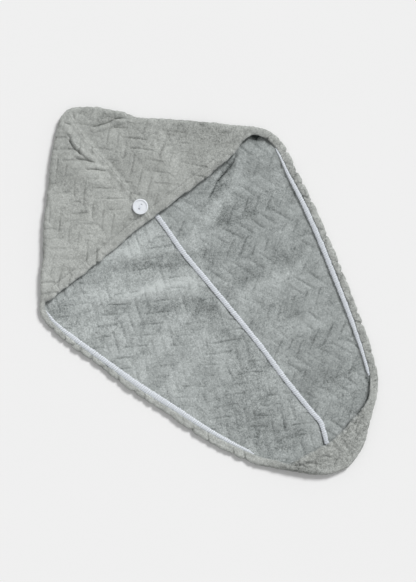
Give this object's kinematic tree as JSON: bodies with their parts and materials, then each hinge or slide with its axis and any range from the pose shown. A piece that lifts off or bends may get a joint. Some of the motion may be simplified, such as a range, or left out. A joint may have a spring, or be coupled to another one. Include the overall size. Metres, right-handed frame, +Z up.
{
  "type": "hair turban towel",
  "caption": "Fleece hair turban towel lying flat and open, with a hood, a tail pocket, overlocked hems and a button closure.",
  "frame": {"origin": "on the surface that the towel lies on, under the middle of its box", "axes": "+Y from the tail to the hood's crown point, +X across to the right half, +Z up from the surface, through the open mouth"},
  "size_m": [0.4006, 0.612, 0.0225],
  "materials": {
    "fleece": "matt short pile with sculpted herringbone ribs",
    "overlock_thread": "matt white overlock thread",
    "button_plastic": "smooth white",
    "elastic": "braided elastic cord"
  },
  "bodies": {
    "root": {"panel_left": "fleece", "panel_right": "fleece", "centre_seam_tape": "overlock_thread", "hem_tape_left": "overlock_thread", "hem_tape_right": "overlock_thread", "button": "button_plastic", "button_thread": "overlock_thread", "elastic_loop": "elastic"}
  },
  "joints": []
}
